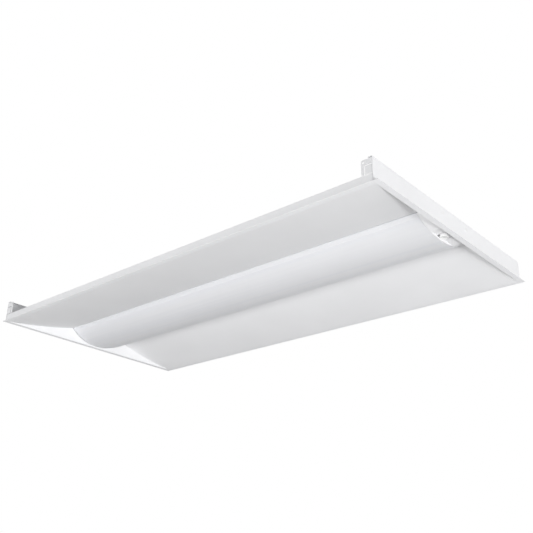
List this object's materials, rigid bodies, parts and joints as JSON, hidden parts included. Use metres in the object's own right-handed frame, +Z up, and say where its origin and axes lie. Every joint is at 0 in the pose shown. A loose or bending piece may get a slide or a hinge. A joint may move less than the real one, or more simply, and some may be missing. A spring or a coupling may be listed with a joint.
{
  "type": "recessed troffer light",
  "caption": "Shallow white recessed light for a ceiling grid: arched translucent lens between sloping reflectors, small round sensor at one end, driver box with hinged lid on the back.",
  "frame": {"origin": "centre of the underside of the ceiling flange", "axes": "+X along the length towards the sensor end, +Y across towards the side with the driver box, +Z up into the ceiling"},
  "size_m": [1.212, 0.602, 0.053],
  "materials": {
    "white_paint": "satin white powder coat",
    "galvanised_sheet": "galvanised, soft spangle",
    "painted_rivet": "satin white",
    "zinc_plate": "bright zinc plate",
    "green_screw": "green dyed zinc plate",
    "lens_acrylic": "frosted translucent, ribbed along its length",
    "cover_plastic": "fine moulded grain",
    "bezel_plastic": "smooth moulded",
    "eye_plastic": "milky",
    "sensor_plastic": "moulded",
    "connector_plastic": "moulded nylon",
    "lead_insulation_white": "smooth",
    "lead_insulation_black": "smooth",
    "cable_jacket": "smooth",
    "driver_metal": "brushed",
    "cap_plastic": "moulded",
    "terminal_plastic": "moulded",
    "supply_plastic": "moulded",
    "grommet_rubber": "matt",
    "board_mask": "white solder mask",
    "led_resin": "phosphor resin"
  },
  "bodies": {
    "housing": {"back_channel": "galvanised_sheet", "board_connectors": "connector_plastic", "board_jumpers": "lead_insulation_white", "cable_grommet": "grommet_rubber", "corner_bracket_plain_end_left": "white_paint", "corner_bracket_plain_end_right": "white_paint", "corner_bracket_sensor_end_left": "white_paint", "corner_bracket_sensor_end_right": "white_paint", "driver_box": "galvanised_sheet", "driver_case": "driver_metal", "driver_end_caps": "cap_plastic", "driver_screws": "zinc_plate", "end_angle_plain_end": "galvanised_sheet", "end_angle_sensor_end": "galvanised_sheet", "end_plate_plain_end": "white_paint", "end_plate_sensor_end": "white_paint", "end_reflector_plain_end": "white_paint", "end_reflector_sensor_end": "white_paint", "end_rivets_plain_end": "painted_rivet", "end_rivets_sensor_end": "painted_rivet", "ground_screw": "green_screw", "input_terminal": "terminal_plastic", "knockout_disc": "galvanised_sheet", "led_board_left_plain_end": "board_mask", "led_board_left_sensor_end": "board_mask", "led_board_right_plain_end": "board_mask", "led_board_right_sensor_end": "board_mask", "led_cable": "cable_jacket", "led_packages_left_plain_end": "led_resin", "led_packages_left_sensor_end": "led_resin", "led_packages_right_plain_end": "led_resin", "led_packages_right_sensor_end": "led_resin", "led_tray": "galvanised_sheet", "lens_rail_left": "galvanised_sheet", "lens_rail_right": "galvanised_sheet", "lid_hinge_pin": "zinc_plate", "output_terminal": "terminal_plastic", "sensor_bezel": "bezel_plastic", "sensor_body": "sensor_plastic", "sensor_cable": "cable_jacket", "sensor_cover": "cover_plastic", "sensor_eye": "eye_plastic", "sensor_nut": "zinc_plate", "side_reflector_left": "white_paint", "side_reflector_right": "white_paint", "supply_connector": "supply_plastic", "supply_leads": "lead_insulation_black"},
    "lens": {"lens": "lens_acrylic"},
    "access_lid": {"access_lid": "galvanised_sheet", "lid_screw": "zinc_plate"},
    "grid_clip_sensor_end_right": {"grid_clip_sensor_end_right": "white_paint"},
    "grid_clip_sensor_end_left": {"grid_clip_sensor_end_left": "white_paint"},
    "grid_clip_plain_end_right": {"grid_clip_plain_end_right": "white_paint"},
    "grid_clip_plain_end_left": {"grid_clip_plain_end_left": "white_paint"}
  },
  "joints": [
    {"name": "lens_drop", "type": "slide", "parent": "housing", "child": "lens", "axis": [0, 0, -1], "range_m": [0, 0.06]},
    {"name": "access_lid_hinge", "type": "hinge", "parent": "housing", "child": "access_lid", "pos_m": [0.1615, 0.2019, 0.0488], "axis": [-1, 0, 0], "range_deg": [0, 105]},
    {"name": "grid_clip_sensor_end_right_bend", "type": "hinge", "parent": "housing", "child": "grid_clip_sensor_end_right", "pos_m": [0.5929, 0.2991, 0.027], "axis": [0, 0, -1], "range_deg": [0, 90]},
    {"name": "grid_clip_sensor_end_left_bend", "type": "hinge", "parent": "housing", "child": "grid_clip_sensor_end_left", "pos_m": [0.5929, -0.2991, 0.027], "axis": [0, 0, 1], "range_deg": [0, 90]},
    {"name": "grid_clip_plain_end_right_bend", "type": "hinge", "parent": "housing", "child": "grid_clip_plain_end_right", "pos_m": [-0.5929, 0.2991, 0.027], "axis": [0, 0, 1], "range_deg": [0, 90]},
    {"name": "grid_clip_plain_end_left_bend", "type": "hinge", "parent": "housing", "child": "grid_clip_plain_end_left", "pos_m": [-0.5929, -0.2991, 0.027], "axis": [0, 0, -1], "range_deg": [0, 90]}
  ]
}
